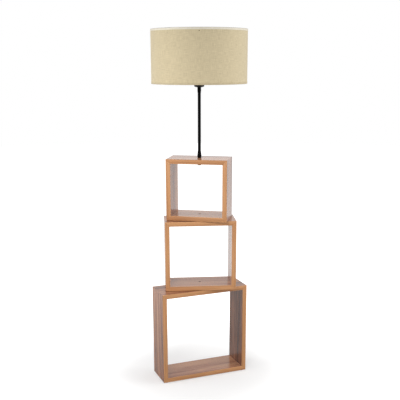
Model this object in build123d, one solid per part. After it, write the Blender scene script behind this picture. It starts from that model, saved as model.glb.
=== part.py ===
from build123d import *
import os
from math import cos, radians, sin

# A shelf floor lamp: three open board boxes stacked on a common axis, each turned
# against the next, with a slim lamp pole, a screw lampholder and a drum shade on top.
# Millimetres. +Z is up, the lamp's axis is Z, and the floor is at Z = 0.
# The front of the middle box faces -Y. Turns are counter-clockwise, seen from above.

# ---------------------------------------------------------------- boxes
board = 18.0                  # thickness of the faced board
box_depth = 132.0             # front to back, over both edge bands
band_thickness = 1.0          # edge band glued to the front and the back edges
lower_width = 370.0
lower_height = 380.0
lower_turn = 17.0             # degrees
middle_width = 286.0
middle_height = 286.0
middle_turn = 0.0
upper_width = 244.0
upper_height = 244.0
upper_turn = -16.0

# Dowels across each mitred corner
dowel_radius = 3.0
dowel_length = 16.0
dowel_inset = 11.0            # from both outer faces to the dowel's middle
dowel_spacing = 70.0          # between the two dowels of a corner
glue_gap = 0.05               # in a mitre, and round a dowel, an insert or a taped edge

# Felt pads under the lowest box
pad_radius = 11.0
pad_height = 3.0
pad_inset = 15.0              # from the box's outer faces to the pad's middle

# ---------------------------------------------------------------- swivels between boxes
bolt_radius = 3.0
bolt_head_radius = 5.0
bolt_head_height = 2.6
bolt_head_round = 1.2
bolt_seat_depth = 3.0         # how far the head's seat lies below the box's floor
bolt_seat_gap = 0.3           # radial, round the head in its seat
bolt_socket_across = 4.0      # hexagon, across its flats
bolt_socket_depth = 1.8
bolt_running_gap = 0.1        # radial, in the box that turns on the bolt
bolt_end_gap = 1.5            # between the bolt's end and the bottom of its blind hole
insert_radius = 5.0
insert_length = 14.0
insert_lip = 0.6              # chamfer at the insert's lower end
thread_gap = 0.05             # radial, between a screw and its thread
slip_disc_radius = 40.0
slip_disc_height = 1.0

# ---------------------------------------------------------------- pole
tube_radius = 6.0
tube_wall = 1.0
tube_length = 265.0
tube_slip_gap = 0.05          # radial, in the collars on the tube
nipple_bore = 3.5
nipple_in_tube = 16.0         # how far a nipple screws into the tube
panel_hole_gap = 0.3          # radial, round the nipple in the top panel
foot_collar_height = 27.0
foot_collar_radius = 8.4      # at its widest
foot_collar_base_radius = 6.9
foot_collar_lip_radius = 6.6  # at its top
foot_collar_widest = 8.0      # height of the widest place
washer_radius = 11.0
washer_thickness = 1.5
nut_across = 14.0             # hexagon, across its flats
nut_height = 5.0
nipple_below_nut = 3.0
bush_radius = 6.8
bush_bore = 3.1
bush_floor = 1.6              # the part of the bush that covers the nipple's end

# ---------------------------------------------------------------- neck and lampholder
neck_height = 20.0
neck_radius = 7.3
neck_lip_radius = 6.5         # at its lower end
neck_taper = 8.0              # height of the tapered part
neck_cover = 6.0              # the neck's height above the tube's end
holder_thread_in_cap = 8.0
cap_height = 22.0
cap_radius = 19.6
cap_neck_radius = 7.6
cap_dome_height = 4.2         # height over which the cap widens to its side
cap_edge_round = 1.8
cap_wall = 2.0
cap_boss_radius = 8.4
skirt_height = 10.0
flange_radius = 22.3
flange_height = 3.0
holder_thread_radius = 19.4
holder_thread_height = 25.0
holder_thread_pitch = 2.5
holder_thread_depth = 0.5
socket_gap = 0.3              # radial, round the bulb's screw cap
carrier_radius = 16.6
carrier_height = 10.0
carrier_foot = 2.0            # how far the carrier reaches down into the cap
carrier_seat_gap = 0.2        # round the carrier in the holder
contact_thickness = 0.6
contact_width = 7.0
contact_rise = 3.4            # the middle contact's top above the carrier
contact_reach = 8.5           # from the axis to the middle contact's foot
side_contact_offset = 10.4    # from the axis to the side contact
side_contact_rise = 4.6
bulb_seat_gap = 0.3

# ---------------------------------------------------------------- bulb, screw cap 26.4
bulb_cap_radius = 13.2
bulb_cap_root = 12.3
bulb_cap_pitch = 3.6
bulb_cap_turns = 6
bulb_cap_wall = 0.6
bulb_tip_radius = 4.6
bulb_tip_height = 1.2
bulb_insulator_height = 4.0
bulb_radius = 30.0
bulb_length = 108.0
bulb_globe_cut = 20.0         # degrees below its widest place, where the globe meets the housing
bulb_wall = 1.2
led_board_radius = 22.0
led_board_thickness = 1.6

# ---------------------------------------------------------------- shade
shade_radius = 185.0          # over the edge tape
shade_height = 200.0
fitter_rise = 21.0            # underside of the fitter's hub above the shade's lower edge
tape_thickness = 0.5
tape_outer_leg = 8.0
tape_inner_leg = 6.0
fabric_thickness = 0.6
lining_thickness = 0.4
lining_gap = 0.3              # between the fabric and the lining
wire_radius = 1.5
spoke_count = 3
spoke_notch_gap = 0.4
hub_bore_gap = 1.0            # radial, round the holder's thread
hub_radius = 30.0
hub_thickness = 1.2
shade_ring_radius = 25.0
shade_ring_height = 8.0
shade_ring_ribs = 24
shade_ring_rib_depth = 0.8
shade_ring_running_gap = 0.1
spoke_ring_gap = 1.5          # between the shade ring and the spokes' inner ends
rivet_head_radius = 1.7
rivet_head_height = 0.5
rivet_stem_radius = 0.9
rivet_drop = 12.5             # below the shade's upper edge
rivet_bearing = -4.5          # degrees from the front

# ---------------------------------------------------------------- heights up the lamp
lower_base = pad_height
middle_base = lower_base + lower_height + slip_disc_height
upper_base = middle_base + middle_height + slip_disc_height
stack_top = upper_base + upper_height
tube_top = stack_top + tube_length
cap_base = tube_top + neck_cover
holder_base = cap_base + cap_height
flange_base = holder_base + skirt_height
flange_top = flange_base + flange_height
holder_top = flange_top + holder_thread_height
carrier_top = holder_base - carrier_foot + carrier_height
bulb_base = carrier_top + contact_rise + bulb_seat_gap
hub_top = flange_top + hub_thickness
shade_base = flange_top - fitter_rise
shade_top = shade_base + shade_height

# Radii that several pieces share
nipple_radius = tube_radius - tube_wall - thread_gap
bolt_hole_radius = bolt_radius + bolt_running_gap
socket_radius = bulb_cap_radius + socket_gap
fabric_radius = shade_radius - tape_thickness - glue_gap
lining_radius = fabric_radius - fabric_thickness - lining_gap
wall_thickness = fabric_thickness + lining_gap + lining_thickness
wire_ring_radius = lining_radius - lining_thickness - glue_gap - wire_radius
hub_bore = holder_thread_radius + hub_bore_gap
edge_to_wall = tape_thickness + glue_gap            # from the shade's edge to the cut wall
edge_to_wire = edge_to_wall + wire_radius           # and to the middle of the ring's wire

parts = {}


# ---------------------------------------------------------------- small helpers
def turned(*outline):
    """A solid of revolution about Z from (radius, height) corners."""
    return revolve(Plane.XZ * make_face(Polyline(*outline, close=True)), Axis.Z)


def ring(outer, inner, base, height):
    """A flat ring about Z, standing on the height base."""
    return Pos(0, 0, base) * extrude(Circle(outer) - Circle(inner), height)


def disc(radius, base, height):
    """A disc about Z, standing on the height base."""
    return Pos(0, 0, base) * extrude(Circle(radius), height)


def hexagon(across, base, height):
    """A hexagonal prism about Z, by its width across flats."""
    return Pos(0, 0, base) * extrude(RegularPolygon(across / 2, 6, major_radius=False), height)


# ---------------------------------------------------------------- boxes
def mitred_strip(length, depth, thickness):
    """A strip along X with 45 degree ends, its longer face down on Z = 0."""
    half = length / 2 - glue_gap / 2 / cos(radians(45))
    inset = half - board
    outline = Polyline((-half, 0), (half, 0), (inset, board), (-inset, board), close=True)
    return extrude(Plane.XZ * make_face(outline), depth / 2, both=True)


def side_places(width, height):
    """Where the four sides of a box frame go, from a strip that lies on Z = 0."""
    return {
        "bottom": Pos(0, 0, 0),
        "top": Pos(0, 0, height) * Rot(0, 180, 0),
        "left": Pos(-width / 2, 0, height / 2) * Rot(0, 90, 0),
        "right": Pos(width / 2, 0, height / 2) * Rot(0, -90, 0),
    }


def side_length(side, width, height):
    return width if side in ("bottom", "top") else height


def corner_dowels(width, height, radius, length):
    """Two dowels across each mitre, square to the mitre's face."""
    dowels = []
    for side in (-1, 1):
        for end in (-1, 1):
            middle = (side * (width / 2 - dowel_inset), height / 2 + end * (height / 2 - dowel_inset))
            for row in (-1, 1):
                place = Plane((middle[0], row * dowel_spacing / 2, middle[1]), z_dir=(side, 0, -end))
                dowels.append(place * Cylinder(radius, length))
    return dowels


def edge_bands(width, height):
    """Mitred strips that cover the board's edges at the front and at the back."""
    middle = (box_depth - band_thickness) / 2
    bands = []
    for face in (-1, 1):
        for side, place in side_places(width, height).items():
            strip = mitred_strip(side_length(side, width, height), band_thickness, board)
            bands.append(Pos(0, face * middle, 0) * place * strip)
    return bands


def box_frame(name, width, height, turn, base, holes):
    """The four boards, the edge bands and the corner dowels of one box."""
    place = Pos(0, 0, base) * Rot(0, 0, turn)
    sockets = corner_dowels(width, height, dowel_radius + glue_gap, dowel_length + 2 * glue_gap)
    for side, side_place in side_places(width, height).items():
        length = side_length(side, width, height)
        panel = side_place * mitred_strip(length, box_depth - 2 * band_thickness, board)
        for socket in sockets:
            panel -= socket
        panel = place * panel
        for hole in holes.get(side, []):
            panel -= hole
        parts[f"{name}_box_{side}_panel"] = panel
    parts[f"{name}_box_edge_bands"] = Compound([place * band for band in edge_bands(width, height)])
    dowels = corner_dowels(width, height, dowel_radius, dowel_length)
    parts[f"{name}_box_mitre_dowels"] = Compound([place * dowel for dowel in dowels])


def insert_socket(panel_top):
    """The blind hole that a threaded insert fills, from the top face of a panel."""
    depth = insert_length + glue_gap
    return disc(insert_radius + glue_gap, panel_top - depth, depth)


def felt_pads():
    """Four round pads, one under each corner of the lowest box."""
    corners = {"front": -1, "back": 1}
    sides = {"left": -1, "right": 1}
    for corner, along_y in corners.items():
        for side, along_x in sides.items():
            middle = Pos(along_x * (lower_width / 2 - pad_inset), along_y * (box_depth / 2 - pad_inset), 0)
            parts[f"felt_pad_{corner}_{side}"] = Rot(0, 0, lower_turn) * middle * disc(pad_radius, 0, pad_height)


# ---------------------------------------------------------------- swivels
def bolt_way(panel_base):
    """The hole for a pivot bolt through a bottom panel, with the sunk seat of its head."""
    seat_base = panel_base + board - bolt_seat_depth
    seat = disc(bolt_head_radius + bolt_seat_gap, seat_base, bolt_seat_depth)
    return disc(bolt_hole_radius, panel_base, board) + seat


def swivel(name, panel_top):
    """Bolt, slip disc and threaded insert between a box and the box that stands on it."""
    head_base = panel_top + slip_disc_height + board - bolt_seat_depth
    bolt_end = panel_top - insert_length + bolt_end_gap
    head = disc(bolt_head_radius, head_base, bolt_head_height)
    head = fillet(head.edges().group_by(Axis.Z)[-1], bolt_head_round)
    socket_base = head_base + bolt_head_height - bolt_socket_depth
    head -= hexagon(bolt_socket_across, socket_base, bolt_socket_depth)
    parts[f"{name}_pivot_bolt"] = head + disc(bolt_radius, bolt_end, head_base - bolt_end)
    parts[f"{name}_slip_disc"] = ring(slip_disc_radius, bolt_hole_radius, panel_top, slip_disc_height)
    body = disc(insert_radius, panel_top - insert_length, insert_length)
    body = chamfer(body.edges().group_by(Axis.Z)[0], insert_lip)
    parts[f"{name}_pivot_insert"] = body - disc(bolt_radius + thread_gap, panel_top - insert_length, insert_length)


# ---------------------------------------------------------------- pole
def foot_collar():
    """A tulip-shaped collar round the tube's lower end, resting on the top panel."""
    bore = tube_radius + tube_slip_gap
    base, widest, top = stack_top, stack_top + foot_collar_widest, stack_top + foot_collar_height
    low_mid = (foot_collar_base_radius + 2 * foot_collar_radius) / 3
    high_mid = (foot_collar_lip_radius + 2 * foot_collar_radius) / 3
    bulge = ThreePointArc((foot_collar_base_radius, base), (low_mid, base + foot_collar_widest / 3),
                          (foot_collar_radius, widest))
    taper = ThreePointArc((foot_collar_radius, widest), (high_mid, (widest + top) / 2),
                          (foot_collar_lip_radius, top))
    inside = Polyline((foot_collar_lip_radius, top), (bore, top), (bore, base),
                      (foot_collar_base_radius, base))
    return revolve(Plane.XZ * make_face(bulge + taper + inside), Axis.Z)


def pole():
    """The tube, and what screws its foot to the upper box's top panel."""
    washer_base = stack_top - board - washer_thickness
    nut_base = washer_base - nut_height
    nipple_base = nut_base - nipple_below_nut
    parts["pole_tube"] = ring(tube_radius, tube_radius - tube_wall, stack_top, tube_length)
    parts["foot_collar"] = foot_collar()
    nipple_height = stack_top + nipple_in_tube - nipple_base
    parts["foot_nipple"] = ring(nipple_radius, nipple_bore, nipple_base, nipple_height)
    parts["foot_washer"] = ring(washer_radius, nipple_radius + panel_hole_gap, washer_base, washer_thickness)
    nut = hexagon(nut_across, nut_base, nut_height)
    parts["foot_nut"] = nut - disc(nipple_radius + thread_gap, nut_base, nut_height)
    bush = ring(bush_radius, bush_bore, nipple_base - bush_floor, bush_floor + nipple_below_nut)
    parts["cord_bush"] = bush - disc(nipple_radius + thread_gap, nipple_base, nipple_below_nut)


def neck():
    """The collar that closes the tube's upper end, and the nipple that carries the lampholder."""
    base = cap_base - neck_height
    taper_top = base + neck_taper
    tube_bore = tube_radius + tube_slip_gap
    screw_bore = nipple_radius + thread_gap
    parts["neck_collar"] = turned((tube_bore, base), (neck_lip_radius, base), (neck_radius, taper_top),
                                  (neck_radius, cap_base), (screw_bore, cap_base), (screw_bore, tube_top),
                                  (tube_bore, tube_top))
    nipple_base = tube_top - nipple_in_tube
    nipple_height = cap_base + holder_thread_in_cap - nipple_base
    parts["neck_nipple"] = ring(nipple_radius, nipple_bore, nipple_base, nipple_height)


# ---------------------------------------------------------------- lampholder
def holder_cap():
    """The holder's lower cup, with the boss that screws on to the neck's nipple."""
    side_base = cap_base + cap_dome_height
    outer = turned((0, cap_base), (cap_neck_radius, cap_base), (cap_radius - cap_edge_round, side_base),
                   (cap_radius, side_base + cap_edge_round), (cap_radius, holder_base), (0, holder_base))
    inner = cap_radius - cap_wall
    floor = side_base + cap_wall
    hollow = disc(inner, floor, holder_base - floor)
    boss = disc(cap_boss_radius, floor, cap_base + holder_thread_in_cap - floor)
    bore = disc(nipple_radius + thread_gap, cap_base, cap_height)
    return outer - hollow + boss - bore


def holder_body():
    """The holder's upper part: skirt, flange for the shade and the threaded tube for the ring."""
    root = holder_thread_radius - holder_thread_depth
    flank = holder_thread_pitch / 4
    body = disc(cap_radius, holder_base, skirt_height)
    body += disc(flange_radius, flange_base, flange_height)
    body += disc(root, flange_top, holder_thread_height)
    for turn in range(int(holder_thread_height / holder_thread_pitch)):
        low = flange_top + turn * holder_thread_pitch
        body += turned((0, low), (root, low), (holder_thread_radius, low + flank),
                       (holder_thread_radius, low + 2 * flank), (root, low + 3 * flank), (0, low + 3 * flank))
    seat_height = carrier_top - holder_base
    body -= disc(carrier_radius + carrier_seat_gap, holder_base, seat_height)
    return body - disc(socket_radius, carrier_top, holder_top - carrier_top)


def contacts():
    """The insulating carrier and the two spring contacts in the bottom of the holder."""
    carrier_base = holder_base - carrier_foot
    parts["contact_carrier"] = disc(carrier_radius, carrier_base, carrier_height)
    top = carrier_top + contact_rise
    foot = Pos(-contact_reach / 2, 0, carrier_top + contact_thickness / 2)
    foot = foot * Box(contact_reach, contact_width, contact_thickness)
    riser = Pos(contact_thickness / 2 - contact_reach, 0, carrier_top + contact_rise / 2)
    riser = riser * Box(contact_thickness, contact_width, contact_rise)
    pad = Pos(0, 0, top - contact_thickness / 2) * Box(2 * contact_reach, contact_width, contact_thickness)
    parts["centre_contact"] = foot + riser + pad
    foot = Pos(side_contact_offset, 0, carrier_top + contact_thickness / 2)
    foot = foot * Box(contact_width / 2, contact_width, contact_thickness)
    blade = Pos(side_contact_offset + contact_width / 4 - contact_thickness / 2, 0,
                carrier_top + side_contact_rise / 2)
    parts["side_contact"] = foot + blade * Box(contact_thickness, contact_width, side_contact_rise)


# ---------------------------------------------------------------- bulb
def bulb():
    """A frosted bulb with a screw cap, standing in the holder."""
    insulator_base = bulb_base + bulb_tip_height
    shell_base = insulator_base + bulb_insulator_height
    shell_height = bulb_cap_pitch * bulb_cap_turns
    shell_top = shell_base + shell_height
    globe_middle = bulb_base + bulb_length - bulb_radius
    housing_top = globe_middle - bulb_radius * sin(radians(bulb_globe_cut))
    parts["bulb_tip"] = disc(bulb_tip_radius, bulb_base, bulb_tip_height)
    parts["bulb_insulator"] = turned((0, insulator_base), (bulb_tip_radius, insulator_base),
                                     (bulb_cap_root, shell_base), (0, shell_base))
    shell = disc(bulb_cap_root, shell_base, shell_height)
    for turn in range(bulb_cap_turns):
        low = shell_base + turn * bulb_cap_pitch
        crest = ThreePointArc((bulb_cap_root, low), (bulb_cap_radius, low + bulb_cap_pitch / 2),
                              (bulb_cap_root, low + bulb_cap_pitch))
        core = Polyline((bulb_cap_root, low + bulb_cap_pitch), (0, low + bulb_cap_pitch), (0, low),
                        (bulb_cap_root, low))
        shell += revolve(Plane.XZ * make_face(crest + core), Axis.Z)
    inside = bulb_cap_root - bulb_cap_wall
    parts["bulb_cap"] = shell - disc(inside, shell_base, shell_height)
    seat = bulb_radius * cos(radians(bulb_globe_cut))
    throat = inside - glue_gap
    parts["bulb_housing"] = turned((0, shell_top - bulb_cap_pitch), (throat, shell_top - bulb_cap_pitch),
                                   (throat, shell_top), (bulb_cap_root, shell_top), (seat, housing_top),
                                   (0, housing_top))
    parts["bulb_board"] = disc(led_board_radius, housing_top, led_board_thickness)
    globe = Pos(0, 0, globe_middle) * (Sphere(bulb_radius) - Sphere(bulb_radius - bulb_wall))
    parts["bulb_globe"] = globe - disc(2 * bulb_radius, shell_top, housing_top - shell_top)


# ---------------------------------------------------------------- shade
def edge_tape():
    """The folded tape round a shade edge, for the upper edge: a channel that opens downwards."""
    inner = wire_ring_radius - wire_radius - glue_gap
    return turned((shade_radius - tape_thickness, shade_top - tape_outer_leg),
                  (shade_radius, shade_top - tape_outer_leg), (shade_radius, shade_top),
                  (inner - tape_thickness, shade_top), (inner - tape_thickness, shade_top - tape_inner_leg),
                  (inner, shade_top - tape_inner_leg), (inner, shade_top - tape_thickness),
                  (shade_radius - tape_thickness, shade_top - tape_thickness))


def spoke(index, radius):
    """One straight wire from the hub to the lower ring, as a round bar of the given radius."""
    start = shade_ring_radius + spoke_ring_gap
    bearing = radians(90 + 360 * index / spoke_count)
    across = Vector(cos(bearing), sin(bearing), 0)
    inner = across * start + Vector(0, 0, hub_top - hub_thickness / 2)
    outer = across * wire_ring_radius + Vector(0, 0, shade_base + edge_to_wire)
    run = outer - inner
    return Plane(inner, z_dir=run) * extrude(Circle(radius), run.length)


def shade():
    """Fabric, lining, edge tapes, wire frame and rivet of the drum shade."""
    wall_base = shade_base + edge_to_wall
    wall_height = shade_height - 2 * edge_to_wall
    fabric = ring(fabric_radius, fabric_radius - fabric_thickness, wall_base, wall_height)
    lining = ring(lining_radius, lining_radius - lining_thickness, wall_base, wall_height)
    hole = rivet_plane() * Cylinder(rivet_stem_radius + glue_gap, 4 * wall_thickness)
    parts["shade_fabric"] = fabric - hole
    parts["shade_lining"] = lining - hole
    parts["shade_rivet"] = rivet()
    parts["shade_top_ring"] = Pos(0, 0, shade_top - edge_to_wire) * Torus(wire_ring_radius, wire_radius)
    frame = Pos(0, 0, shade_base + edge_to_wire) * Torus(wire_ring_radius, wire_radius)
    frame += ring(hub_radius, hub_bore, flange_top, hub_thickness)
    for index in range(spoke_count):
        frame += spoke(index, wire_radius)
    parts["shade_fitter_frame"] = frame
    parts["shade_top_tape"] = edge_tape()
    lower_tape = mirror(edge_tape(), Plane.XY.offset((shade_base + shade_top) / 2))
    for index in range(spoke_count):
        lower_tape -= spoke(index, wire_radius + spoke_notch_gap)
    parts["shade_bottom_tape"] = lower_tape


def rivet_plane():
    """The plane of the rivet, on the fabric's outer face, looking outwards."""
    bearing = radians(rivet_bearing - 90)
    outwards = Vector(cos(bearing), sin(bearing), 0)
    return Plane(outwards * fabric_radius + Vector(0, 0, shade_top - rivet_drop), z_dir=outwards)


def rivet():
    """A small tubular rivet through the fabric and the lining, with a head on each side."""
    grip = wall_thickness + glue_gap
    head = extrude(Circle(rivet_head_radius), rivet_head_height)
    stem = Pos(0, 0, -grip) * extrude(Circle(rivet_stem_radius), grip)
    tail = Pos(0, 0, -grip - rivet_head_height) * head
    return rivet_plane() * (head + stem + tail)


def shade_ring():
    """The ribbed ring that clamps the shade's hub down on the holder's flange."""
    bore = holder_thread_radius + shade_ring_running_gap
    body = ring(shade_ring_radius - shade_ring_rib_depth, bore, hub_top, shade_ring_height)
    rib = Pos(shade_ring_radius - shade_ring_rib_depth, 0, hub_top)
    rib = rib * extrude(Circle(shade_ring_rib_depth), shade_ring_height)
    for index in range(shade_ring_ribs):
        body += Rot(0, 0, 360 * index / shade_ring_ribs) * rib
    return body


# ---------------------------------------------------------------- the lamp
nipple_way = disc(nipple_radius + panel_hole_gap, stack_top - board, board)
lower_top = lower_base + lower_height
middle_top = middle_base + middle_height

box_frame("lower", lower_width, lower_height, lower_turn, lower_base,
          {"top": [insert_socket(lower_top)]})
box_frame("middle", middle_width, middle_height, middle_turn, middle_base,
          {"bottom": [bolt_way(middle_base)], "top": [insert_socket(middle_top)]})
box_frame("upper", upper_width, upper_height, upper_turn, upper_base,
          {"bottom": [bolt_way(upper_base)], "top": [nipple_way]})
felt_pads()
swivel("lower", lower_top)
swivel("upper", middle_top)
pole()
neck()
parts["holder_cap"] = holder_cap()
parts["holder_body"] = holder_body()
contacts()
bulb()
shade()
parts["shade_ring"] = shade_ring()

os.makedirs("parts", exist_ok=True)
for name, shape in parts.items():
    export_step(shape, f"parts/{name}.step")
print(f"{len(parts)} parts, {shade_top:.1f} mm high, box stack {stack_top:.1f} mm")
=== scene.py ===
"""Looks of the shelf floor lamp: three walnut-look boxes, a black pole and a drum shade.

Sizes are in millimetres where a field says so, and reach Blender in metres.
"""
import logging
import math
from contextlib import contextmanager
from dataclasses import dataclass
from enum import Enum
from functools import cache
from typing import Callable, Iterator, Sequence

import bmesh
import bpy
from mathutils import Matrix, Vector


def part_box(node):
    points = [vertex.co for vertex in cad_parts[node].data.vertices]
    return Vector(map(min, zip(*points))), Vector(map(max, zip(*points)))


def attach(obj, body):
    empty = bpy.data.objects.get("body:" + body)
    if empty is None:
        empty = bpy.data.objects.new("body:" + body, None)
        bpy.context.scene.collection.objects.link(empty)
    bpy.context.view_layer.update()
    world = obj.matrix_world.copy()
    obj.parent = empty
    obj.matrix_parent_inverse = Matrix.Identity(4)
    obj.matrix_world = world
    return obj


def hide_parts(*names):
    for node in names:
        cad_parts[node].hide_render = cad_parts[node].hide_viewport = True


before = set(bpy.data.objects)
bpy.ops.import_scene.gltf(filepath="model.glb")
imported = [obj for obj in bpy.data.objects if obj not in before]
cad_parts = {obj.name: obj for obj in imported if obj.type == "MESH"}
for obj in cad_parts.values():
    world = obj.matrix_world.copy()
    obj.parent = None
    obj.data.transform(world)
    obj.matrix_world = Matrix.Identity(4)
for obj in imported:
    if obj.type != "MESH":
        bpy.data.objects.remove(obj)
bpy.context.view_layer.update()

log = logging.getLogger("shelf_floor_lamp")
Piece = bpy.types.Object
Tree = bpy.types.NodeTree
Node = bpy.types.Node
Socket = bpy.types.NodeSocket
Material = bpy.types.Material
Triple = tuple[float, float, float]
Outline = Sequence[tuple[float, float]]
Rule = Callable[[Vector, Vector], tuple[float, float]]
MM = 0.001
FULL_TURN = 2 * math.pi
# vertices nearer to each other than this are one, in metres
WELD = 1e-6


# --- the bench
def clear_selection() -> None:
    """Leaves edit mode and deselects every object."""
    if bpy.context.mode != "OBJECT":
        bpy.ops.object.mode_set(mode="OBJECT")
    bpy.ops.object.select_all(action="DESELECT")


def take(*pieces: Piece) -> None:
    """Selects these objects alone, the first of them active."""
    clear_selection()
    for piece in pieces:
        piece.select_set(True)
    bpy.context.view_layer.objects.active = pieces[0]


@contextmanager
def editing(piece: Piece, whole: bool = False) -> Iterator[None]:
    """Edit mode on one piece.

    Args:
        piece: The mesh object to edit.
        whole: Whether all of it is selected at first, or nothing.
    """
    take(piece)
    bpy.ops.object.mode_set(mode="EDIT")
    bpy.ops.mesh.select_all(action="SELECT" if whole else "DESELECT")
    yield
    clear_selection()


def pick(piece: Piece, kind: str, test: Callable[[Vector], bool]) -> None:
    """Selects the vertices, edges or faces of the edited mesh whose middle passes a test.

    Args:
        piece: The object in edit mode.
        kind: VERT, EDGE or FACE.
        test: Takes the middle of the element and says whether it is wanted.
    """
    bpy.ops.mesh.select_mode(type=kind)
    bpy.ops.mesh.select_all(action="DESELECT")
    mesh = bmesh.from_edit_mesh(piece.data)
    group, middle = {
        "VERT": (mesh.verts, lambda vertex: vertex.co),
        "EDGE": (mesh.edges, lambda edge: (edge.verts[0].co + edge.verts[1].co) / 2),
        "FACE": (mesh.faces, lambda face: face.calc_center_median()),
    }[kind]
    for element in group:
        if test(middle(element)):
            element.select_set(True)
    mesh.select_flush_mode()
    bmesh.update_edit_mesh(piece.data)


def extrude(step: Vector | Triple) -> None:
    """Extrudes what is selected by one step, in metres."""
    bpy.ops.mesh.extrude_region_move(TRANSFORM_OT_translate={"value": step})


def spin(steps: int, **more: object) -> None:
    """Spins what is selected a full turn about the lamp's axis."""
    bpy.ops.mesh.spin(steps=steps, angle=FULL_TURN, center=(0, 0, 0), axis=(0, 0, 1), **more)


def named(name: str) -> Piece:
    """Names the piece that an operator has just added, and its mesh."""
    piece = bpy.context.active_object
    piece.name = piece.data.name = name
    return piece


def fix(piece: Piece) -> None:
    """Keeps the piece's place, turn and scale in its mesh."""
    take(piece)
    bpy.ops.object.transform_apply(location=True, rotation=True, scale=True)


def put_at(piece: Piece, place: Matrix) -> None:
    """Moves a piece to a place and keeps that place in its mesh."""
    piece.matrix_world = place @ piece.matrix_world
    fix(piece)


def moved(x: float = 0, y: float = 0, z: float = 0) -> Matrix:
    """A move, in millimetres."""
    return Matrix.Translation((x * MM, y * MM, z * MM))


def turned(degrees: float, axis: str = "Z") -> Matrix:
    """A turn about one of the world's axes."""
    return Matrix.Rotation(math.radians(degrees), 4, axis)


def added(name: str, add: Callable, scale: Triple = (1, 1, 1), **settings: object) -> Piece:
    """Adds a primitive and keeps its place and scale in its mesh.

    Args:
        name: The new object's name.
        add: The operator that adds it.
        scale: How much larger it becomes along each axis.
        **settings: The operator's settings.

    Returns:
        The new object.
    """
    clear_selection()
    add(**settings)
    piece = named(name)
    piece.scale = scale
    fix(piece)
    return piece


def finish_with(piece: Piece, kind: str, **settings: object) -> None:
    """Adds a modifier with its settings and applies it.

    Args:
        piece: The object that gets it.
        kind: The modifier's type, such as SOLIDIFY.
        **settings: Values set on the modifier.
    """
    take(piece)
    modifier = piece.modifiers.new(kind.title(), kind)
    for key, value in settings.items():
        setattr(modifier, key, value)
    bpy.ops.object.modifier_apply(modifier=modifier.name)


def wound(piece: Piece, pitch: float, turns: int) -> None:
    """Winds an outline up the lamp's axis as a helix, with its pitch in millimetres."""
    finish_with(piece, "SCREW", axis="Z", angle=FULL_TURN, steps=64, render_steps=64, iterations=turns,
                screw_offset=pitch * MM)


def face_out() -> None:
    """Turns all faces of the edited mesh outwards."""
    bpy.ops.mesh.select_all(action="SELECT")
    bpy.ops.mesh.normals_make_consistent(inside=False)


def close_up(piece: Piece) -> None:
    """Merges doubled vertices and turns all faces outwards."""
    with editing(piece, whole=True):
        bpy.ops.mesh.remove_doubles(threshold=WELD)
        face_out()


def settle(piece: Piece, degrees: float = 38.0) -> None:
    """Puts the place into the mesh and shades it smooth up to an edge angle."""
    fix(piece)
    bpy.ops.object.shade_smooth_by_angle(angle=math.radians(degrees))


def copy_of(piece: Piece, name: str) -> Piece:
    """A copy of a piece with its own mesh."""
    twin = piece.copy()
    twin.data = piece.data.copy()
    twin.name = twin.data.name = name
    bpy.context.scene.collection.objects.link(twin)
    return twin


def joined(pieces: Sequence[Piece], name: str) -> Piece:
    """Several pieces as one object."""
    take(*pieces)
    bpy.ops.object.join()
    return named(name)


def raised(base: float, *points: tuple[float, float]) -> list:
    """Points (radius, height) lifted by a base height."""
    return [(radius, base + height) for radius, height in points]


def arc(height: float, radius: float, start: float, end: float, steps: int) -> list:
    """Points (radius, height) on an arc about the axis, angles in degrees from the outward direction."""
    turns = [math.radians(start + (end - start) * i / steps) for i in range(steps + 1)]
    return [(radius * math.cos(t), height + radius * math.sin(t)) for t in turns]


def through(points: Outline, steps: int = 4) -> list:
    """A smooth run through (radius, height) points.

    Args:
        points: The points it passes, at least three.
        steps: Divisions between two points.

    Returns:
        The points of the run, the ends among them.
    """
    run = []
    ends = [points[0], *points, points[-1]]
    for a, b, c, d in zip(ends, ends[1:], ends[2:], ends[3:]):
        for i in range(steps):
            t = i / steps
            run.append(tuple(0.5 * (2 * b[k] + (c[k] - a[k]) * t + (2 * a[k] - 5 * b[k] + 4 * c[k] - d[k]) * t * t
                                    + (3 * b[k] - a[k] - 3 * c[k] + d[k]) * t ** 3) for k in (0, 1)))
    return [*run, tuple(points[-1])]


def drawn(name: str, outline: Outline, closed: bool = False) -> Piece:
    """An outline in the XZ plane, extruded point by point from one vertex.

    Args:
        name: The new object's name.
        outline: (radius, height) points in millimetres.
        closed: Whether the last point joins the first.

    Returns:
        The object, with edges only.
    """
    piece = added(name, bpy.ops.mesh.primitive_plane_add, size=MM)
    points = [Vector((r * MM, 0, h * MM)) for r, h in outline]
    with editing(piece, whole=True):
        bpy.ops.mesh.select_mode(type="VERT")
        bpy.ops.mesh.merge(type="CENTER")
        bpy.ops.transform.translate(value=points[0])
        for a, b in zip(points, points[1:]):
            extrude(b - a)
        if closed:
            ends = (points[0], points[-1])
            pick(piece, "VERT", lambda co: any((co - end).length < WELD for end in ends))
            bpy.ops.mesh.edge_face_add()
    return piece


def lathe(name: str, outline: Outline, steps: int = 96, closed: bool = True) -> Piece:
    """A turned piece about the lamp's axis.

    Args:
        name: The new object's name.
        outline: (radius, height) points in millimetres.
        steps: Divisions of the full turn.
        closed: Whether the outline is a loop, as on a ring. An open one starts and ends on the axis.

    Returns:
        The turned object, closed and facing outwards.
    """
    piece = drawn(name, outline, closed)
    with editing(piece, whole=True):
        spin(steps)
    close_up(piece)
    settle(piece)
    return piece


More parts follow.
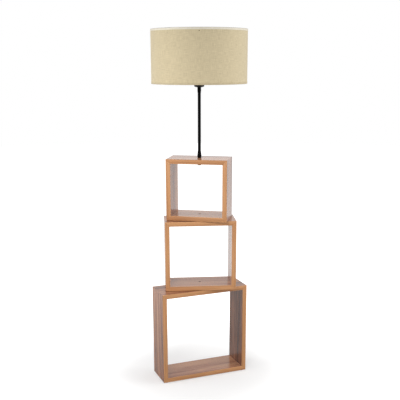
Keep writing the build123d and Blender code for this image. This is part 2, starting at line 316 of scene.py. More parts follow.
def fluted(piece: Piece, low: float, high: float, reach: float, count: int, depth: float,
           flank: float = 0.22) -> None:
    """Presses flutes into the side of a turned piece, or raises ribs on it. Millimetres.

    Args:
        piece: The turned piece, whose side has rows of faces at these heights.
        low: Where the flutes start.
        high: Where they end.
        reach: Only faces farther out than this are taken.
        count: How many flutes go round. The piece has four columns of faces for each.
        depth: How far they rise; a flute's is negative.
        flank: How wide the slope at their sides is.
    """
    column = FULL_TURN / (4 * count)

    def wanted(co: Vector) -> bool:
        """Whether a face belongs to a flute."""
        place = int((math.atan2(co.y, co.x) + FULL_TURN) / column)
        return low * MM < co.z < high * MM and co.to_2d().length > reach * MM and place % 4 < 2

    with editing(piece):
        pick(piece, "FACE", wanted)
        bpy.ops.mesh.inset(thickness=flank * MM, depth=depth * MM, use_individual=False)
    settle(piece)


def lay_out(piece: Piece, rule: Rule) -> None:
    """Writes the piece's UV map in metres.

    Args:
        piece: The mesh object.
        rule: Takes a corner and the middle of its face, and gives (u, v).
    """
    mesh = piece.data
    layer = mesh.uv_layers.active or mesh.uv_layers.new()
    layer.name = "Length"
    for polygon in mesh.polygons:
        for loop in polygon.loop_indices:
            layer.data[loop].uv = rule(mesh.vertices[mesh.loops[loop].vertex_index].co, polygon.center)


def round_the_axis(radius: float) -> Rule:
    """A UV rule for cloth round the axis: u along the turn, v up the height, both in metres."""

    def rule(corner: Vector, middle: Vector) -> tuple[float, float]:
        """The corner's turn, kept on its own face's side of the seam."""
        centre, turn = math.atan2(middle.x, -middle.y), math.atan2(corner.x, -corner.y)
        turn += FULL_TURN * round((centre - turn) / FULL_TURN)
        return turn * radius * MM, corner.z

    return rule


# --- shader nodes
def linear(code: str) -> tuple[float, float, float, float]:
    """An sRGB hex colour such as #C99468 as linear RGBA."""
    shares = [int(code[i:i + 2], 16) / 255 for i in (1, 3, 5)]
    return (*(s / 12.92 if s <= 0.04045 else ((s + 0.055) / 1.055) ** 2.4 for s in shares), 1.0)


def feed(node: Node, inputs: dict) -> None:
    """Sets a node's inputs.

    Args:
        node: The node.
        inputs: By input name or number, a value or the socket that feeds it.
    """
    for key, value in inputs.items():
        if isinstance(value, Socket):
            node.id_data.links.new(value, node.inputs[key])
        else:
            node.inputs[key].default_value = value


def put(tree: Tree, kind: str, inputs: dict | None = None, **settings: object) -> Node:
    """Adds one node with its settings and links.

    Args:
        tree: The node tree.
        kind: The node's type name.
        inputs: By input name or number, a value or the socket that feeds it.
        **settings: Properties of the node.

    Returns:
        The new node.
    """
    node = tree.nodes.new(kind)
    for key, value in settings.items():
        setattr(node, key, value)
    feed(node, inputs or {})
    return node


def maths(tree: Tree, operation: str, *values: object, kind: str = "ShaderNodeMath") -> Socket:
    """One operation on sockets and values, and the socket of its result."""
    return put(tree, kind, dict(enumerate(values)), operation=operation).outputs[0]


def spread(tree: Tree, value: Socket, low: float, high: float, to_low: float = 0.0, to_high: float = 1.0,
           way: str = "LINEAR") -> Socket:
    """A value's range from low to high, spread over another range, and the result's socket."""
    ends = {"Value": value, "From Min": low, "From Max": high, "To Min": to_low, "To Max": to_high}
    return put(tree, "ShaderNodeMapRange", ends, interpolation_type=way).outputs[0]


def noise(tree: Tree, here: Socket, per_metre: Sequence[float], detail: float, **more: float) -> Socket:
    """Noise drawn out unevenly, and its value's socket.

    Args:
        tree: The node tree.
        here: The place, in metres.
        per_metre: How much of it goes by in a metre along each axis.
        detail: How many finer layers it has.
        **more: Other inputs of the noise, such as Roughness.
    """
    place = put(tree, "ShaderNodeMapping", {"Vector": here, "Scale": per_metre}).outputs[0]
    inputs = {"Vector": place, "Scale": 1.0, "Detail": detail, **more}
    return put(tree, "ShaderNodeTexNoise", inputs).outputs["Fac"]


def blend(tree: Tree, share: float | Socket, first: object, second: object) -> Socket:
    """Two colours mixed by the second one's share, and the result's socket."""
    return put(tree, "ShaderNodeMix", {0: share, 6: first, 7: second}, data_type="RGBA").outputs[2]


def ramp(tree: Tree, factor: Socket, *stops: tuple[float, str]) -> Socket:
    """A colour ramp through (place, hex colour) stops, and its colour socket."""
    node = put(tree, "ShaderNodeValToRGB", {"Fac": factor})
    while len(node.color_ramp.elements) < len(stops):
        node.color_ramp.elements.new(0.5)
    for element, (place, code) in zip(node.color_ramp.elements, stops):
        element.position = place
        element.color = linear(code)
    return node.outputs["Color"]


def bump(tree: Tree, height: Socket, strength: float, distance: float) -> Socket:
    """A relief of a height, as deep as the distance in metres, and its normal's socket."""
    inputs = {"Height": height, "Strength": strength, "Distance": distance}
    return put(tree, "ShaderNodeBump", inputs).outputs[0]


def blank(name: str) -> tuple[Material, Tree, Node]:
    """A new material with its tree and its one Principled shader."""
    material = bpy.data.materials.new(name)
    material.use_nodes = True
    return material, material.node_tree, material.node_tree.nodes["Principled BSDF"]


class Finish:
    """A surface finish that can be made into a material."""

    title: str

    def look(self, tree: Tree) -> dict:
        """Builds the finish's nodes and gives the inputs of its Principled shader."""
        raise NotImplementedError


@cache
def material_of(finish: Finish) -> Material:
    """A finish's material, built on first use and then reused."""
    material, tree, shader = blank(finish.title)
    feed(shader, finish.look(tree))
    return material


# --- finishes
@dataclass(frozen=True)
class WalnutMelamine(Finish):
    """Melamine facing with a walnut print, pressed satin on particle board.

    The eye gets long brown streaks, a few wide dark ones, fine pores, and a satin sheen
    that turns pale where the face is seen edge on.
    """

    turn: float
    upright: bool
    shift: Triple
    # painted light and shade: lifts or lowers the whole print for how the lamps fall on this board
    tone: float = 0.0

    @property
    def title(self) -> str:
        """The material's name."""
        return f"walnut_melamine_{'upright' if self.upright else 'level'}"

    def look(self, tree: Tree) -> dict:
        """The print of one board, laid along its length."""
        here = put(tree, "ShaderNodeTexCoord").outputs["Object"]
        square = put(tree, "ShaderNodeMapping", {"Vector": here, "Rotation": (0, 0, math.radians(-self.turn))})
        lie = (0, math.radians(90), 0) if self.upright else (0, 0, 0)
        along = put(tree, "ShaderNodeMapping",
                    {"Vector": square.outputs[0], "Rotation": lie, "Location": self.shift}).outputs[0]
        # zones of 30 mm across and 0.6 m along wander the streaks
        zones = noise(tree, along, (1.7, 33, 33), 2.0)
        # year rings as streaks about 11 mm apart, drawn out along the board
        rings = noise(tree, along, (3.2, 90, 90), 5.0, Roughness=0.62, Distortion=0.35)
        # fibres of 1.2 mm and pores of 0.4 mm by 7 mm
        fibres = noise(tree, along, (20, 830, 830), 2.0)
        pores = spread(tree, noise(tree, along, (140, 2500, 2500), 0.0), 0.30, 0.40)
        figure = maths(tree, "MULTIPLY", maths(tree, "ADD", zones, rings), 0.5)
        figure = maths(tree, "MULTIPLY_ADD", fibres, 0.16, figure)
        # painted light and shade: the board's whole print made lighter where it is lit and darker where it lies in
        # shade
        figure = maths(tree, "ADD", figure, self.tone)
        brown = ramp(tree, figure, (0.42, "#57372A"), (0.51, "#865A44"), (0.60, "#A56F52"), (0.70, "#C4906D"))
        dark = blend(tree, 0.35, brown, linear("#432818"))
        return {"Base Color": blend(tree, pores, dark, brown), "Roughness": spread(tree, rings, 0.3, 0.7, 0.21, 0.16),
                "Normal": bump(tree, pores, 0.5, 0.00004), "IOR": 1.5}


@dataclass(frozen=True)
class WalnutEdgeBand(Finish):
    """Printed ABS edge band in a lighter walnut, planed flush and rounded.

    The eye gets a warm tan strip with thin darker lines that run its whole length.
    """

    title: str = "walnut_edge_band"
    light: str = "#D49B6A"
    dark: str = "#AE774D"

    def look(self, tree: Tree) -> dict:
        """The band's lines, on the strip's own length map."""
        here = put(tree, "ShaderNodeUVMap", uv_map="Length").outputs[0]
        # lines 3 mm apart and zones of 14 mm, both drawn out along the strip
        lines = noise(tree, here, (6, 330, 1), 4.0, Roughness=0.65, Distortion=0.2)
        zones = noise(tree, here, (2.2, 70, 1), 2.0)
        figure = maths(tree, "MULTIPLY", maths(tree, "ADD", zones, lines), 0.5)
        tan = ramp(tree, figure, (0.36, self.dark), (0.47, "#C58C5C"), (0.56, self.light), (0.68, "#DEA777"))
        return {"Base Color": tan, "Normal": bump(tree, lines, 0.3, 0.00005), "Roughness": 0.42, "IOR": 1.5}


@dataclass(frozen=True)
class Grained(Finish):
    """A plain finish with a fine grain: moulded plastic, coat, plate, felt or ceramic.

    Each use names its own colour, gloss and grit, so the eye tells satin powder coat from
    moulded phenolic, zinc plate, felt or steatite by its speckle and the breadth of its lights.
    """

    title: str
    colour: str
    second: str
    roughness: float
    grit: float
    relief: float = 0.00002
    metallic: float = 0.0
    ior: float = 1.5
    specular: float = 0.5
    stretch: Triple = (1, 1, 1)
    sheen: float = 0.0
    glow: float = 0.0
    speckle: float = 0.05

    def look(self, tree: Tree) -> dict:
        """A grain of the grit's size in millimetres, in colour, gloss and relief."""
        here = put(tree, "ShaderNodeTexCoord").outputs["Object"]
        grain = noise(tree, here, self.stretch, 3.0, Scale=1 / (self.grit * MM))
        gloss = spread(tree, grain, 0.0, 1.0, self.roughness - self.speckle, self.roughness + self.speckle)
        inputs = {"Base Color": ramp(tree, grain, (0.35, self.colour), (0.65, self.second)), "Roughness": gloss,
                  "Normal": bump(tree, grain, 0.6, self.relief), "Metallic": self.metallic}
        if not self.metallic:
            inputs |= {"IOR": self.ior, "Specular IOR Level": self.specular}
        if self.sheen:
            inputs |= {"Sheen Weight": self.sheen, "Sheen Roughness": 0.5}
        if self.glow:
            inputs |= {"Subsurface Weight": self.glow, "Subsurface Radius": (0.004, 0.004, 0.0035),
                       "Subsurface Scale": 1.0}
        return inputs


@dataclass(frozen=True)
class PlainWeave(Finish):
    """Cotton cloth in plain weave, laminated on a stiff film.

    The eye gets crossing threads with thicker slubs here and there, and soft pale
    flanks where the fibres catch the side lights. Threads are 0.5 mm apart on the real
    one, too fine to show, so they are drawn 1.4 mm apart.
    """

    title: str
    colour: str
    shade: str
    thread: float = 1.4
    sheen: float = 0.5
    mottle: float = 0.5
    crease: str = ""
    wander: float = 0.0007

    def look(self, tree: Tree) -> dict:
        """Threads, slubs and dust, on the cloth's own length map."""
        here = put(tree, "ShaderNodeUVMap", uv_map="Length").outputs[0]
        # the threads wander by up to 0.7 mm
        loose = put(tree, "ShaderNodeTexNoise", {"Vector": here, "Scale": 60.0, "Detail": 2.0}).outputs["Color"]
        bent = maths(tree, "MULTIPLY", loose, (self.wander, self.wander, 0), kind="ShaderNodeVectorMath")
        woven = maths(tree, "ADD", here, bent, kind="ShaderNodeVectorMath")
        pitch = FULL_TURN * 0.5 / (self.thread * MM)
        apart = maths(tree, "MULTIPLY", woven, (pitch, pitch, 0), kind="ShaderNodeVectorMath")
        axes = put(tree, "ShaderNodeSeparateXYZ", {0: apart}).outputs
        crossing = maths(tree, "MULTIPLY", maths(tree, "SINE", axes[0]), maths(tree, "SINE", axes[1]))
        # slubs: thick places of 1.5 mm by 25 mm along the weft and up the warp
        slubs = maths(tree, "ADD", noise(tree, here, (40, 650, 1), 2.0), noise(tree, here, (650, 40, 1), 2.0))
        # bunches where slubs cross, 4 mm to 9 mm wide, are what the eye reads as linen
        bunch = put(tree, "ShaderNodeTexNoise", {"Vector": here, "Scale": 190.0, "Detail": 3.0, "Roughness": 0.7})
        slubs = maths(tree, "MULTIPLY_ADD", bunch.outputs["Fac"], self.mottle, slubs)
        slubs = maths(tree, "SUBTRACT", slubs, self.mottle / 2)
        tone = spread(tree, maths(tree, "MULTIPLY_ADD", crossing, 0.10, slubs), 0.72, 1.28)
        colour = ramp(tree, tone, (0.0, self.shade), (1.0, self.colour))
        if self.crease:
            # greys the outer leg near the fold, where v is 0: not at all from 1.4 mm below it, fully from 0.8 mm
            # below it
            height = put(tree, "ShaderNodeSeparateXYZ", {0: here}).outputs[1]
            colour = blend(tree, spread(tree, height, -0.0014, -0.0008), colour, linear(self.crease))
        return {"Base Color": colour, "Normal": bump(tree, tone, 0.8, 0.0003), "Roughness": 0.85,
                "Specular IOR Level": 0.25, "Sheen Weight": self.sheen, "Sheen Roughness": 0.45,
                "Sheen Tint": linear("#FFF6E2")}


# beech dowel, fluted and unfinished: pale end grain
BEECH = Grained("fluted_beech", "#B68A5C", "#C79B6C", 0.7, 1.2, 0.0001, stretch=(1, 1, 0.2))
# pressed wool felt: dark, soft and fibrous
FELT = Grained("pressed_wool_felt", "#2E2A27", "#4A443F", 0.95, 0.5, 0.0003, sheen=0.6)
# blackened bronze plate on steel: dull brown metal
BRONZED = Grained("bronzed_steel", "#5A4738", "#6E5847", 0.38, 0.8, metallic=1.0)
# bright zinc plate: cool grey metal with a cloudy spangle
ZINC = Grained("zinc_plated_steel", "#A9AAA8", "#C2C3C0", 0.32, 1.5, metallic=1.0)
# cast nylon sheet: milky and dull
NYLON = Grained("cast_nylon_sheet", "#CFCBC0", "#DAD6CB", 0.5, 2.0)
# polyester powder coat, satin black: slight orange peel with a broad soft light
BLACK_COAT = Grained("satin_black_powder_coat", "#0A0A0A", "#0F0F0F", 0.45, 1.1, 0.00001, ior=1.33, specular=0.05)
# moulded phenolic: black and smooth with a duller light
PHENOLIC = Grained("moulded_black_phenolic", "#0D0D0D", "#121212", 0.40, 0.9, specular=0.25)
# unglazed steatite ceramic: chalk white and fine grained
STEATITE = Grained("unglazed_steatite", "#DDD9CF", "#E8E4DB", 0.72, 0.7, 0.00004)
# rolled brass strip: yellow metal with lengthwise drawing lines
BRASS = Grained("rolled_brass", "#B98D43", "#CDA256", 0.28, 0.5, metallic=1.0, stretch=(0.1, 1, 1))
# nickel plated shell: warm silver
NICKEL = Grained("nickel_plated_shell", "#B4AFA5", "#C8C3B8", 0.26, 1.0, metallic=1.0)
# moulded polycarbonate: white and satin
POLYCARBONATE = Grained("moulded_white_polycarbonate", "#E2E1DD", "#EAE9E5", 0.38, 1.2)
# white solder mask on an aluminium board
LED_BOARD = Grained("white_solder_mask", "#DEDDD6", "#E8E7E1", 0.45, 1.0)
# opal diffuser, blown polycarbonate: milky with light inside its skin
OPAL = Grained("opal_diffuser", "#EFEDE6", "#F4F2EC", 0.30, 3.0, 0.00001, glow=0.4)
# white styrene film, rolled: smooth and pale
STYRENE = Grained("white_styrene_film", "#E6E2D8", "#EEEBE2", 0.55, 2.5)
# epoxy coated wire: white, softly glossy
WHITE_WIRE = Grained("white_epoxy_coat", "#DAD9D4", "#E4E3DE", 0.36, 1.0, 0.00003)
EDGE_BAND = WalnutEdgeBand()
SHADE_CLOTH = PlainWeave("laminated_plain_weave_cotton", "#E2D3B0", "#CCBC98", mottle=0.22)
# one folded cotton tape on both rims: painted paler on the upper rim as a highlight and painted darker on the lower
# rim as shade
UPPER_TAPE_PAINTED_LIT = PlainWeave("folded_cotton_tape_painted_lit", "#F3ECDC", "#E4DDCA", 1.0, crease="#8E8A84")
LOWER_TAPE_PAINTED_SHADED = PlainWeave("folded_cotton_tape_painted_shaded", "#D7C7A5", "#C4B490", 1.0)


def wear(piece: Piece, finish: Finish) -> None:
    """Gives a piece one finish all over."""
    piece.data.materials.clear()
    piece.data.materials.append(material_of(finish))


def dress(finish: Finish, *names: str) -> None:
    """Gives a finish to CAD nodes that keep their own meshes."""
    for name in names:
        wear(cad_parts[name], finish)
        log.info("%s: dressed", name)


def hand_over(piece: Piece, finish: Finish, body: str, slot: str, *nodes: str) -> None:
    """Dresses a finished piece, has it ride on its body and stand for its CAD nodes.

    Args:
        piece: The finished mesh object.
        finish: What it is covered with.
        body: The CAD body that it rides on.
        slot: The record's material slot; not used.
        *nodes: The CAD nodes that it replaces.
    """
    wear(piece, finish)
    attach(piece, body)
    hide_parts(*nodes)
    log.info("%s: %d faces, rides on %s", piece.name, len(piece.data.polygons), body)


# --- boxes
class Side(Enum):
    """The four boards of a box."""

    BOTTOM = "bottom"
    TOP = "top"
    LEFT = "left"
    RIGHT = "right"

    @property
    def upright(self) -> bool:
        """Whether the board stands."""
        return self in (Side.LEFT, Side.RIGHT)


@dataclass
class BoxUnit:
    """One open box: four faced boards with edge bands, mitred at the corners.

    Millimetres, but metres for where the prints start: shift for the box's first board, and
    print_step and band_step from one board and one strip to the next.
    """

    name: str
    width: float
    height: float
    turn: float
    base: float
    shift: float
    # per board, how much lighter than the print it is painted, as painted light and shade
    painted_shading: dict[Side, float]
    depth: float = 132.0
    board: float = 18.0
    band: float = 1.0
    seam: float = 0.05
    arris: float = 0.35
    print_step: Triple = (0.61, 0.17, 0.29)
    band_step: float = 0.83

    def place(self, side: Side) -> Matrix:
        """Where a strip that lies on the ground goes for one side of the box."""
        out, up = self.width / 2, self.height / 2
        place = {
            Side.BOTTOM: Matrix.Identity(4),
            Side.TOP: moved(z=self.height) @ turned(180, "Y"),
            Side.LEFT: moved(-out, z=up) @ turned(90, "Y"),
            Side.RIGHT: moved(out, z=up) @ turned(-90, "Y"),
        }[side]
        return moved(z=self.base) @ turned(self.turn) @ place

    def strip(self, name: str, length: float, offset: float) -> Piece:
        """One edge band strip with mitred ends and eased arrises, its face towards -Y.

        Args:
            name: The strip's name.
            length: Its longer edge, in millimetres.
            offset: Where its print starts, in metres.

        Returns:
            The strip, lying on the ground with its length along X.
        """
        half, middle = length / 2 - self.seam / math.sqrt(2), self.board / 2 * MM
        piece = added(name, bpy.ops.mesh.primitive_cube_add, (2 * half * MM, self.band * MM, self.board * MM),
                      size=1, location=(0, 0, middle))
        with editing(piece):
            for sign in (-1, 1):
                pick(piece, "VERT", lambda co: co.x * sign > 0 and co.z > middle)
                bpy.ops.transform.translate(value=(-sign * self.board * MM, 0, 0))
            # the edges of the strip's face, which lies half a band forward
            pick(piece, "EDGE", lambda co: co.y < -self.band * 0.49 * MM)
            bpy.ops.mesh.bevel(offset=self.arris * MM, segments=3, affect="EDGES")
        lay_out(piece, lambda corner, middle: (corner.x + offset, corner.z + 3 * offset))
        return piece

    def bands(self) -> None:
        """The eight strips that cover the boards' edges at the front and the back."""
        strips = []
        middle = (self.depth - self.band) / 2
        for number, side in enumerate(Side):
            length = self.height if side.upright else self.width
            front = self.strip(f"{self.name}_band_{side.value}", length, self.shift + self.band_step * number)
            back = copy_of(front, f"{self.name}_band_back_{side.value}")
            put_at(front, self.place(side) @ moved(y=-middle))
            put_at(back, self.place(side) @ (moved(y=middle) @ turned(180)))
            strips += [front, back]
        piece = joined(strips, f"{self.name}_edge_strips")
        settle(piece, 30)
        hand_over(piece, EDGE_BAND, f"{self.name}_box", "edge_band", f"{self.name}_box_edge_bands")

    def boards(self) -> None:
        """Gives each board its own cut of the walnut print, running along its length, lifted or lowered as painted
        light and shade.
        """
        for number, side in enumerate(Side):
            along, across, deep = (step * number for step in self.print_step)
            cut = (self.shift + along, self.shift + across, deep)
            facing = WalnutMelamine(self.turn, side.upright, cut, self.painted_shading[side])
            dress(facing, f"{self.name}_box_{side.value}_panel")
        dress(BEECH, f"{self.name}_box_mitre_dowels")

    def build(self) -> None:
        """Builds the box's strips and dresses its boards."""
        self.bands()
        self.boards()


@dataclass
class FeltFeet:
    """Four round felt pads under the lowest box. Millimetres."""

    box_width: float = 370.0
    box_depth: float = 132.0
    turn: float = 17.0
    radius: float = 11.0
    height: float = 3.0
    inset: float = 15.0

    def build(self) -> None:
        """Turns one pad with a pressed, slightly bulging rim and copies it to the corners."""
        r, h = self.radius, self.height
        rim = [(r - 0.5, 0), (r - 0.12, 0.35), (r, 0.9), (r - 0.05, 1.6), (r - 0.25, 2.3), (r - 0.7, h)]
        first = lathe("felt_pad", [(0, 0), (0.6 * r, 0), *rim, (0.6 * r, h), (0, h)], 48, closed=False)
        for corner, along_y in (("front", -1), ("back", 1)):
            for side, along_x in (("left", -1), ("right", 1)):
                x, y = along_x * (self.box_width / 2 - self.inset), along_y * (self.box_depth / 2 - self.inset)
                pad = copy_of(first, f"felt_foot_{corner}_{side}")
                put_at(pad, turned(self.turn) @ moved(x, y))
                hand_over(pad, FELT, "lower_box", "felt", f"felt_pad_{corner}_{side}")
        bpy.data.objects.remove(first)


# --- pole
@dataclass
class Pole:
    """Tube, foot collar, neck collar and slip discs. Millimetres."""

    foot: float = 915.0
    tube_radius: float = 6.0
    tube_wall: float = 1.0
    tube_length: float = 265.0
    slip: float = 0.05
    neck_base: float = 1166.0
    neck_height: float = 20.0
    neck_seat: float = 14.0
    screw_radius: float = 5.0
    disc_radius: float = 40.0
    disc_bore: float = 3.1
    slide: float = 0.04
    ease: float = 0.2

    def tube(self) -> None:
        """The tube, with both ends deburred."""
        r, w, t, e = self.tube_radius, self.tube_radius - self.tube_wall, self.tube_length, self.ease
        outline = raised(self.foot, (w, 0), (r - e, 0), (r, e), (r, t - e), (r - e, t), (w, t))
        hand_over(lathe("black_tube", outline), BLACK_COAT, "upper_box", "black_coat", "pole_tube")

    def foot_collar(self) -> None:
        """The tulip-shaped collar at the tube's foot."""
        bore = self.tube_radius + self.slip
        skin = through([(6.9, 0), (7.55, 2.2), (8.25, 5.4), (8.4, 8.0), (8.15, 11.5), (7.55, 17.0), (6.95, 22.5),
                        (6.62, 26.5)])
        outline = raised(self.foot, (bore, 0), *skin, (6.45, 27.0), (bore, 27.0))
        hand_over(lathe("tulip_collar", outline), BLACK_COAT, "upper_box", "black_coat", "foot_collar")

    def neck_collar(self) -> None:
        """The collar that closes the tube's upper end under the lampholder."""
        t, seat, bore, screw = self.neck_height, self.neck_seat, self.tube_radius + self.slip, self.screw_radius
        outline = raised(self.neck_base, (bore, 0), (6.35, 0), (6.5, 0.2), (6.62, 1.4), (7.2, 7.2), (7.3, 8.4),
                         (7.3, t - 0.3), (7.05, t), (screw, t), (screw, seat), (bore, seat))
        hand_over(lathe("neck_sleeve", outline), BLACK_COAT, "upper_box", "black_coat", "neck_collar")

    def slip_disc(self, name: str, body: str) -> None:
        """The nylon disc that one box turns on, with eased arrises and room above it to slide.

        Args:
            name: The CAD node.
            body: The body of the box below, which the disc lies on.
        """
        low, high = (corner[2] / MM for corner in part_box(name))
        top, rim, e = high - self.slide, self.disc_radius, self.ease
        outline = [(self.disc_bore, low), (rim - e, low), (rim, low + e), (rim, top - e), (rim - e, top),
                   (self.disc_bore, top)]
        hand_over(lathe(f"{name}_turned", outline), NYLON, body, "nylon", name)

    def build(self) -> None:
        """Builds the pole's visible pieces and the slip discs, and dresses the hidden fittings."""
        self.tube()
        self.foot_collar()
        self.neck_collar()
        self.slip_disc("lower_slip_disc", "lower_box")
        self.slip_disc("upper_slip_disc", "middle_box")
        dress(ZINC, "foot_nipple", "neck_nipple", "foot_washer", "foot_nut")
        dress(ZINC, "lower_pivot_insert", "upper_pivot_insert")
        dress(PHENOLIC, "cord_bush")
        dress(BRONZED, "lower_pivot_bolt", "upper_pivot_bolt")


@dataclass
class LampHolder:
    """Screw lampholder: fluted cap and skirt, threaded neck, and the ring that clamps the shade. Millimetres."""

    foot: float = 1186.0
    cap_height: float = 22.0
    radius: float = 19.6
    cap_bore: float = 17.6
    boss: float = 8.4
    screw_radius: float = 5.0
    screw_depth: float = 8.0
    skirt: float = 10.0
    flange: float = 3.0
    flange_radius: float = 22.3
    thread_radius: float = 19.4
    thread_depth: float = 0.5
    pitch: float = 2.5
    turns: int = 9
    neck: float = 25.0
    socket_radius: float = 13.5
    seat_radius: float = 16.8
    seat: float = 8.0
    flutes: int = 36
    flute_depth: float = -0.35
    ring_seat: float = 1222.2
    ring_radius: float = 24.2
    ring_height: float = 8.0
    ring_ribs: int = 24
    rib_height: float = 0.75

    def cap(self) -> None:
        """The lower cup, softly domed below, with grip flutes round its side."""
        r, t, bore, boss, screw, deep = (self.radius, self.cap_height, self.cap_bore, self.boss, self.screw_radius,
                                         self.screw_depth)
        skin = through([(7.6, 0), (11.4, 0.7), (15.4, 1.6), (18.0, 2.6), (19.2, 3.6), (r, 5.2)], 3)
        outline = raised(self.foot, (screw, 0), *skin, (r, 8.0), (r, t - 2.4), (r, t - 0.25), (r - 0.25, t),
                         (bore, t), (bore, 6.4), (bore - 0.2, 6.2), (boss, 6.2), (boss, deep), (screw, deep))
        piece = lathe("fluted_cap", outline, 4 * self.flutes)
        fluted(piece, self.foot + 8.0, self.foot + t - 2.4, r - 0.5, self.flutes, self.flute_depth)
        hand_over(piece, PHENOLIC, "upper_box", "black_plastic", "holder_cap")

    def body(self) -> None:
        """The upper part: fluted skirt, flange and a tube with a helical thread."""
        b, r, rim, socket = self.foot + self.cap_height, self.radius, self.flange_radius, self.socket_radius
        low, top, end = self.skirt, self.skirt + self.flange, self.skirt + self.flange + self.neck
        root, crest = self.thread_radius - self.thread_depth, self.thread_radius
        outline = raised(b, (self.seat_radius, 0), (r - 0.25, 0), (r, 0.25), (r, 1.6), (r, low - 1.4), (r, low - 0.3),
                         (r + 0.3, low), (rim - 0.4, low), (rim, low + 0.4), (rim, top - 0.4), (rim - 0.4, top),
                         (root, top), (root, end - 0.4), (root - 0.4, end), (socket + 0.5, end), (socket, end - 0.5),
                         (socket, self.seat), (self.seat_radius, self.seat))
        piece = lathe("threaded_body", outline, 4 * self.flutes)
        fluted(piece, b + 1.6, b + low - 1.4, r - 0.5, self.flutes, self.flute_depth)
        quarter, sunk = self.pitch / 4, root - 0.3
        tooth = raised(b + top + 0.1, (sunk, 0), (root, 0), (crest, quarter), (crest, 2 * quarter),
                       (root, 3 * quarter), (sunk, 3 * quarter))
        thread = drawn("thread", tooth, closed=True)
        wound(thread, self.pitch, self.turns)
        with editing(thread, whole=True):
            bpy.ops.mesh.fill_holes(sides=0)
        close_up(thread)
        settle(thread)
        hand_over(joined([piece, thread], "threaded_body"), PHENOLIC, "upper_box", "black_plastic", "holder_body")

    def ring(self) -> None:
        """The ribbed ring that screws down on the shade's hub."""
        b, t, r, bore = self.ring_seat, self.ring_height, self.ring_radius, self.thread_radius + 0.1
        outline = raised(b, (bore, 0.3), (bore + 0.3, 0), (r - 0.3, 0), (r, 0.3), (r, 1.2), (r, t - 1.2),
                         (r, t - 0.5), (r - 0.5, t), (bore + 0.5, t), (bore, t - 0.5))
        piece = lathe("ribbed_ring", outline, 4 * self.ring_ribs)
        fluted(piece, b + 1.2, b + t - 1.2, r - 0.5, self.ring_ribs, self.rib_height)
        hand_over(piece, PHENOLIC, "shade_ring", "black_plastic", "shade_ring")

    def build(self) -> None:
        """Builds the holder's shells and dresses its contacts."""
        self.cap()
        self.body()
        self.ring()
        dress(STEATITE, "contact_carrier")
        dress(BRASS, "centre_contact", "side_contact")


@dataclass
class Bulb:
    """Opal bulb with a screw shell, a fluted housing and a blown diffuser. Millimetres, degrees for the cut."""

    shell_base: float = 1224.9
    pitch: float = 3.6
    root: float = 12.3
    crest: float = 13.2
    shell_top: float = 1246.5
    shell_wall: float = 0.4
    plug: float = 11.6
    flutes: int = 24
    flute_depth: float = -0.4
    middle: float = 1297.7
    radius: float = 30.0
    skin: float = 1.2
    cut: float = 20.0

    def shell(self) -> None:
        """The rolled screw shell, one run of a rounded helical thread."""
        turns = round((self.shell_top - self.shell_base) / self.pitch) - 1
        rows = [(self.root + (self.crest - self.root) * (0.5 - 0.5 * math.cos(math.pi * i / 4)), self.pitch * i / 8)
                for i in range(8 * turns + 1)]
        piece = drawn("rolled_shell", raised(self.shell_base, *rows))
        wound(piece, self.pitch, 1)
        close_up(piece)
        finish_with(piece, "SOLIDIFY", thickness=self.shell_wall * MM, offset=-1.0)
        settle(piece, 60)
        hand_over(piece, NICKEL, "bulb", "nickel_cap", "bulb_cap")

    def housing(self) -> None:
        """The flared housing, with shallow flutes that cool it."""
        b, cut = self.shell_top, math.radians(self.cut)
        seat = (self.radius * math.cos(cut), self.middle - self.radius * math.sin(cut))
        flare = raised(b, (12.3, 0), (13.4, 3.5), (18.6, 14.0), (23.8, 25.5), (27.4, 36.0))
        outline = [(0, b - self.pitch), (self.plug, b - self.pitch), (self.plug + 0.05, b),
                   *through([*flare, seat], 3), (0, seat[1])]
        piece = lathe("flared_housing", outline, closed=False)
        fluted(piece, b + 5.0, b + 34.0, 13.0, self.flutes, self.flute_depth)
        hand_over(piece, POLYCARBONATE, "bulb", "white_plastic", "bulb_housing")

    def globe(self) -> None:
        """The blown diffuser, a thin skin with a rolled rim."""
        outer = arc(self.middle, self.radius, 90, -self.cut, 22)
        inner = arc(self.middle, self.radius - self.skin, -self.cut, 90, 22)
        outline = [(0, outer[0][1]), *outer[1:], *inner[:-1], (0, inner[-1][1])]
        hand_over(lathe("blown_diffuser", outline, closed=False), OPAL, "bulb", "opal_globe", "bulb_globe")

    def build(self) -> None:
        """Builds the bulb's shells and dresses its hidden pieces."""
        self.shell()
        self.housing()
        self.globe()
        dress(BRASS, "bulb_tip")
        dress(PHENOLIC, "bulb_insulator")
        dress(LED_BOARD, "bulb_board")


